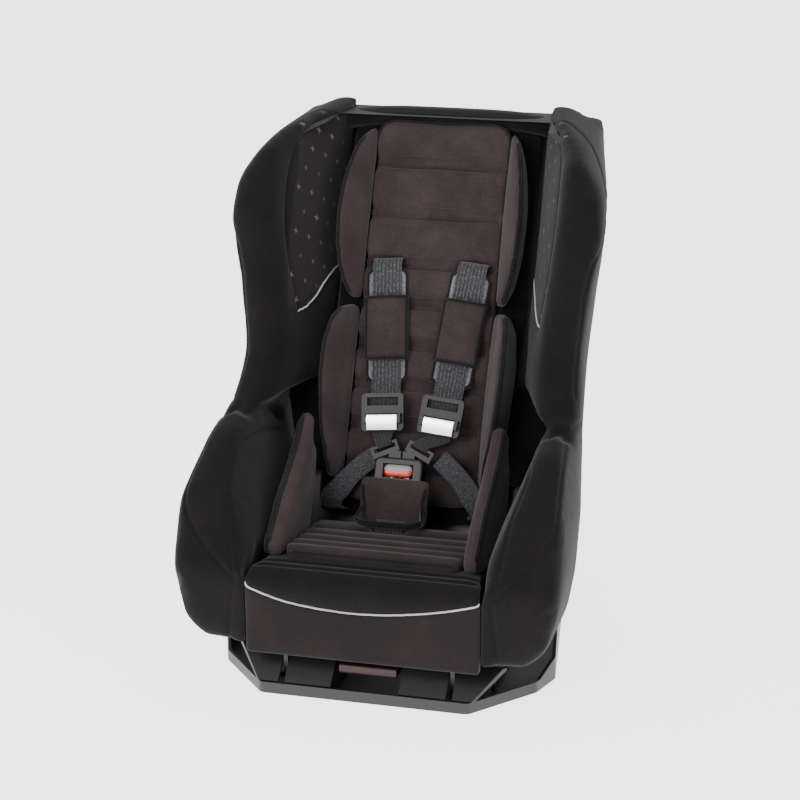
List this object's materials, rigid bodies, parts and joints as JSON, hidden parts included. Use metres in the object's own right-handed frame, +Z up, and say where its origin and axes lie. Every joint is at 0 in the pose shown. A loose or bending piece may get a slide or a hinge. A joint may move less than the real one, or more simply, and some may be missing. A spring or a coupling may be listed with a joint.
{
  "type": "convertible child car seat",
  "caption": "Child car seat: moulded bucket shell with padded cover, wings, armrests and infant insert, five-point harness, on a base with a sliding recline track.",
  "frame": {"origin": "middle of the base's flat underside", "axes": "+Z up, the child faces -Y, +X towards the seat's left side"},
  "size_m": [0.454, 0.476, 0.614],
  "materials": {
    "base_plastic": "fine satin grain",
    "shell_plastic": "fine matt grain",
    "trim_plastic": "satin",
    "screw_steel": "zinc plated",
    "bright_steel": "zinc plated",
    "foam": "open foam",
    "cover_fabric": "short velour",
    "insert_fabric": "brushed knit",
    "webbing": "woven polyester",
    "pad_lining": "knitted lining",
    "lever_silver": "satin",
    "button_red": "gloss",
    "clamp_blue": "satin"
  },
  "bodies": {
    "base": {"base_tray": "base_plastic", "base_screws": "screw_steel", "track_cheek_left": "base_plastic", "track_cheek_right": "base_plastic", "rack_plates": "bright_steel"},
    "shell": {"shell": "shell_plastic", "slide_rails": "shell_plastic", "guide_rods": "bright_steel", "rod_caps": "trim_plastic", "handle_pivot_pin": "bright_steel", "latch_springs": "bright_steel", "foam_back": "foam", "foam_seat": "foam", "cover_back": "cover_fabric", "cover_seat": "cover_fabric", "insert_back": "insert_fabric", "insert_seat": "insert_fabric", "buckle_back": "trim_plastic", "buckle_front": "trim_plastic", "buckle_frame": "bright_steel", "crotch_strap": "webbing", "crotch_pad": "insert_fabric", "shoulder_anchor_plates": "bright_steel", "strap_anchor_bars": "bright_steel", "clamp_brackets": "trim_plastic", "clamp_pins": "bright_steel", "cover_wing_left": "cover_fabric", "cover_armrest_left": "cover_fabric", "insert_head_wing_left": "insert_fabric", "insert_lumbar_bolster_left": "insert_fabric", "insert_thigh_bolster_left": "insert_fabric", "shoulder_strap_left": "webbing", "lap_strap_left": "webbing", "cover_wing_right": "cover_fabric", "cover_armrest_right": "cover_fabric", "insert_head_wing_right": "insert_fabric", "insert_lumbar_bolster_right": "insert_fabric", "insert_thigh_bolster_right": "insert_fabric", "shoulder_strap_right": "webbing", "lap_strap_right": "webbing"},
    "recline_handle": {"recline_handle": "trim_plastic"},
    "latch_bar": {"latch_bar": "bright_steel"},
    "release_button": {"release_button": "button_red"},
    "buckle_latch": {"buckle_latch": "bright_steel"},
    "harness_left": {"adjuster_frame_left": "trim_plastic", "lever_pin_left": "bright_steel", "lower_strap_left": "webbing", "buckle_tongue_left": "trim_plastic"},
    "cam_lever_left": {"cam_lever_left": "lever_silver"},
    "pad_left": {"shoulder_pad_left": "pad_lining", "pad_sleeve_left": "insert_fabric"},
    "belt_clamp_left": {"belt_clamp_left": "clamp_blue"},
    "harness_right": {"adjuster_frame_right": "trim_plastic", "lever_pin_right": "bright_steel", "lower_strap_right": "webbing", "buckle_tongue_right": "trim_plastic"},
    "cam_lever_right": {"cam_lever_right": "lever_silver"},
    "pad_right": {"shoulder_pad_right": "pad_lining", "pad_sleeve_right": "insert_fabric"},
    "belt_clamp_right": {"belt_clamp_right": "clamp_blue"}
  },
  "joints": [
    {"name": "recline", "type": "hinge", "parent": "base", "child": "shell", "pos_m": [0, -0.02, 0.445], "axis": [-1, 0, 0], "range_deg": [0, 12]},
    {"name": "recline_handle_lift", "type": "hinge", "parent": "shell", "child": "recline_handle", "pos_m": [0, 0.025, 0.078], "axis": [-1, 0, 0], "range_deg": [0, 10], "stiffness_Nm_per_rad": 1.5, "springref_deg": -11.46},
    {"name": "latch_bar_lift", "type": "slide", "parent": "shell", "child": "latch_bar", "axis": [0, 0, 1], "range_m": [0, 0.008], "stiffness_N_per_m": 800, "springref_m": -0.005, "deforming": ["latch_springs"]},
    {"name": "button_press", "type": "slide", "parent": "shell", "child": "release_button", "axis": [0, 0.9063, -0.4226], "range_m": [0, 0.0046], "stiffness_N_per_m": 900, "springref_m": -0.002},
    {"name": "buckle_latch_release", "type": "slide", "parent": "shell", "child": "buckle_latch", "axis": [0, 0.9063, -0.4226], "range_m": [0, 0.0046], "stiffness_N_per_m": 300, "springref_m": -0.002},
    {"name": "harness_left_pull_out", "type": "slide", "parent": "shell", "child": "harness_left", "axis": [0, 0.4226, 0.9063], "range_m": [0, 0.04], "deforming": ["shoulder_strap_left", "lap_strap_left"]},
    {"name": "cam_lever_left_open", "type": "hinge", "parent": "harness_left", "child": "cam_lever_left", "pos_m": [0.03525, -0.00877, 0.26804], "axis": [-0.9956, 0.0397, 0.085], "range_deg": [0, 40], "stiffness_Nm_per_rad": 0.03, "springref_deg": -17.19},
    {"name": "pad_left_slide", "type": "slide", "parent": "shell", "child": "pad_left", "axis": [-0.0938, -0.4208, -0.9023], "range_m": [0, 0.008]},
    {"name": "belt_clamp_left_open", "type": "hinge", "parent": "shell", "child": "belt_clamp_left", "pos_m": [0.149, 0.09602, 0.30961], "axis": [1, 0, 0], "range_deg": [0, 70], "stiffness_Nm_per_rad": 0.05, "springref_deg": -22.92},
    {"name": "harness_right_pull_out", "type": "slide", "parent": "shell", "child": "harness_right", "axis": [0, 0.4226, 0.9063], "range_m": [0, 0.04], "deforming": ["shoulder_strap_right", "lap_strap_right"]},
    {"name": "cam_lever_right_open", "type": "hinge", "parent": "harness_right", "child": "cam_lever_right", "pos_m": [-0.03525, -0.00877, 0.26804], "axis": [-0.9956, -0.0397, -0.085], "range_deg": [0, 40], "stiffness_Nm_per_rad": 0.03, "springref_deg": -17.19},
    {"name": "pad_right_slide", "type": "slide", "parent": "shell", "child": "pad_right", "axis": [0.0938, -0.4208, -0.9023], "range_m": [0, 0.008]},
    {"name": "belt_clamp_right_open", "type": "hinge", "parent": "shell", "child": "belt_clamp_right", "pos_m": [-0.149, 0.09602, 0.30961], "axis": [1, 0, 0], "range_deg": [0, 70], "stiffness_Nm_per_rad": 0.05, "springref_deg": -22.92}
  ],
  "couplings": [
    {"joint": "latch_bar_lift", "follows": "recline_handle_lift", "m_per_rad": 0.045},
    {"joint": "buckle_latch_release", "follows": "button_press", "ratio": 0.8}
  ]
}
